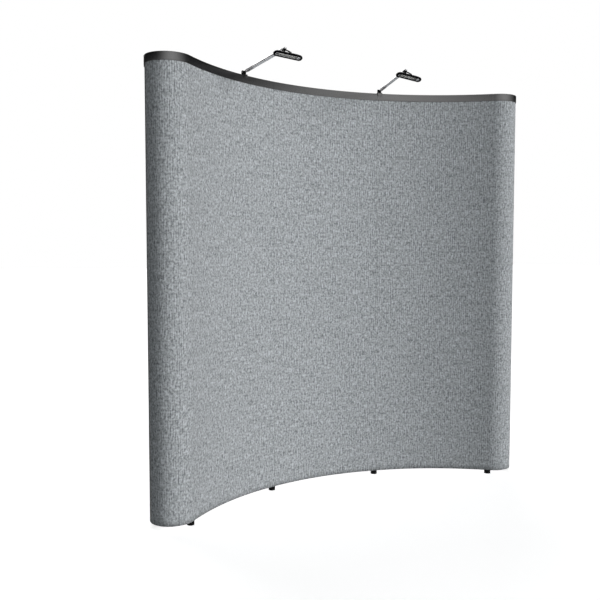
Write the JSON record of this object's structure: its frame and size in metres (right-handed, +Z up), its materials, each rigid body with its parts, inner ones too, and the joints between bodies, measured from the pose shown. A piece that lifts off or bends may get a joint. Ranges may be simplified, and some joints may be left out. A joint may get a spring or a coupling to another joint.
{
  "type": "pop up display backwall",
  "caption": "Curved free-standing display wall: folding hub and rod frame, grey ribbed fabric panels, black header rails, rounded ends, feet and two arm lights.",
  "frame": {"origin": "on the floor, under the middle of the whole wall with its lights", "axes": "+Z up; the hollow front with the lights faces -Y; +X to the right of someone who looks along +Y at the hollow front"},
  "size_m": [2.256, 0.6528, 2.3164],
  "materials": {
    "frame_rods": "satin drawn tube with dark moulded hubs",
    "channel_bars": "satin anodised",
    "feet": "moulded black",
    "edge_strip": "black vinyl, low sheen",
    "header_rail": "satin black",
    "panel_fabric": "ribbed heather grey loop fabric",
    "locking_arm": "moulded black",
    "light_clamp": "black powder coat",
    "light_arm": "polished",
    "light_head": "black powder coat",
    "reflector": "bright",
    "lamp": "clear quartz tube"
  },
  "bodies": {
    "wall": {"column_frame_1": "frame_rods", "front_channel_bar_1": "channel_bars", "front_foot_1": "feet", "rear_foot_1": "feet", "column_frame_2": "frame_rods", "front_channel_bar_2": "channel_bars", "front_foot_2": "feet", "rear_foot_2": "feet", "column_frame_3": "frame_rods", "front_channel_bar_3": "channel_bars", "front_foot_3": "feet", "rear_foot_3": "feet", "column_frame_4": "frame_rods", "front_channel_bar_4": "channel_bars", "front_foot_4": "feet", "rear_foot_4": "feet", "scissor_rods_bay_1_row_1": "frame_rods", "scissor_rods_bay_1_row_2": "frame_rods", "scissor_rods_bay_1_row_3": "frame_rods", "scissor_rods_bay_1_row_4": "frame_rods", "front_panel_1": "panel_fabric", "front_header_rail_1": "header_rail", "scissor_rods_bay_2_row_1": "frame_rods", "scissor_rods_bay_2_row_2": "frame_rods", "scissor_rods_bay_2_row_3": "frame_rods", "scissor_rods_bay_2_row_4": "frame_rods", "front_panel_2": "panel_fabric", "front_header_rail_2": "header_rail", "scissor_rods_bay_3_row_1": "frame_rods", "scissor_rods_bay_3_row_2": "frame_rods", "scissor_rods_bay_3_row_3": "frame_rods", "scissor_rods_bay_3_row_4": "frame_rods", "front_panel_3": "panel_fabric", "front_header_rail_3": "header_rail", "left_rear_channel_bar": "channel_bars", "left_end_panel": "panel_fabric", "left_edge_strip": "edge_strip", "left_end_header_rail": "header_rail", "right_rear_channel_bar": "channel_bars", "right_end_panel": "panel_fabric", "right_edge_strip": "edge_strip", "right_end_header_rail": "header_rail", "left_light_rail_clamp": "light_clamp", "right_light_rail_clamp": "light_clamp"},
    "locking_arm_2": {"locking_arm_2": "locking_arm"},
    "locking_arm_3": {"locking_arm_3": "locking_arm"},
    "left_clamp_knob": {"left_light_clamp_knob": "light_clamp"},
    "left_swivel_post": {"left_light_swivel_post": "light_clamp"},
    "left_arm": {"left_light_arm": "light_arm"},
    "left_head_bracket": {"left_light_head_bracket": "light_head"},
    "left_head": {"left_light_head_shell": "light_head", "left_light_reflector": "reflector", "left_light_lamp_tube": "lamp"},
    "right_clamp_knob": {"right_light_clamp_knob": "light_clamp"},
    "right_swivel_post": {"right_light_swivel_post": "light_clamp"},
    "right_arm": {"right_light_arm": "light_arm"},
    "right_head_bracket": {"right_light_head_bracket": "light_head"},
    "right_head": {"right_light_head_shell": "light_head", "right_light_reflector": "reflector", "right_light_lamp_tube": "lamp"}
  },
  "joints": [
    {"name": "locking_arm_2_lift", "type": "hinge", "parent": "wall", "child": "locking_arm_2", "pos_m": [-0.37961, 0.29337, 1.45833], "axis": [-0.9704, -0.2415, 0], "range_deg": [0, 60]},
    {"name": "locking_arm_3_lift", "type": "hinge", "parent": "wall", "child": "locking_arm_3", "pos_m": [0.37961, 0.29337, 1.45833], "axis": [-0.9704, 0.2415, 0], "range_deg": [0, 60]},
    {"name": "left_clamp_knob_turn", "type": "hinge", "parent": "wall", "child": "left_clamp_knob", "pos_m": [-0.53884, 0.05797, 2.221], "axis": [-0.3854, 0.9227, 0], "range_deg": [0, 720]},
    {"name": "left_post_swivel", "type": "hinge", "parent": "wall", "child": "left_swivel_post", "pos_m": [-0.53884, 0.05797, 2.239], "axis": [0, 0, 1], "range_deg": [-45, 60]},
    {"name": "left_arm_tilt", "type": "hinge", "parent": "left_swivel_post", "child": "left_arm", "pos_m": [-0.53884, 0.05797, 2.251], "axis": [-0.9759, -0.2181, 0], "range_deg": [-25, 65]},
    {"name": "left_head_swivel", "type": "hinge", "parent": "left_arm", "child": "left_head_bracket", "pos_m": [-0.46666, -0.26495, 2.30935], "axis": [-0.0379, 0.1695, 0.9848], "range_deg": [-60, 60]},
    {"name": "left_head_tilt", "type": "hinge", "parent": "left_head_bracket", "child": "left_head", "pos_m": [-0.47073, -0.29545, 2.28426], "axis": [0.9941, -0.0576, -0.0914], "range_deg": [-40, 65]},
    {"name": "right_clamp_knob_turn", "type": "hinge", "parent": "wall", "child": "right_clamp_knob", "pos_m": [0.3522, 0.1209, 2.221], "axis": [0.2519, 0.9677, 0], "range_deg": [0, 720]},
    {"name": "right_post_swivel", "type": "hinge", "parent": "wall", "child": "right_swivel_post", "pos_m": [0.3522, 0.1209, 2.239], "axis": [0, 0, 1], "range_deg": [-60, 45]},
    {"name": "right_arm_tilt", "type": "hinge", "parent": "right_swivel_post", "child": "right_arm", "pos_m": [0.3522, 0.1209, 2.251], "axis": [-0.9871, 0.1599, 0], "range_deg": [-25, 65]},
    {"name": "right_head_swivel", "type": "hinge", "parent": "right_arm", "child": "right_head_bracket", "pos_m": [0.29903, -0.20739, 2.29892], "axis": [0.0228, 0.1408, 0.9898], "range_deg": [-60, 60]},
    {"name": "right_head_tilt", "type": "hinge", "parent": "right_head_bracket", "child": "right_head", "pos_m": [0.29281, -0.23696, 2.27318], "axis": [0.987, -0.0939, -0.1308], "range_deg": [-40, 65]}
  ]
}
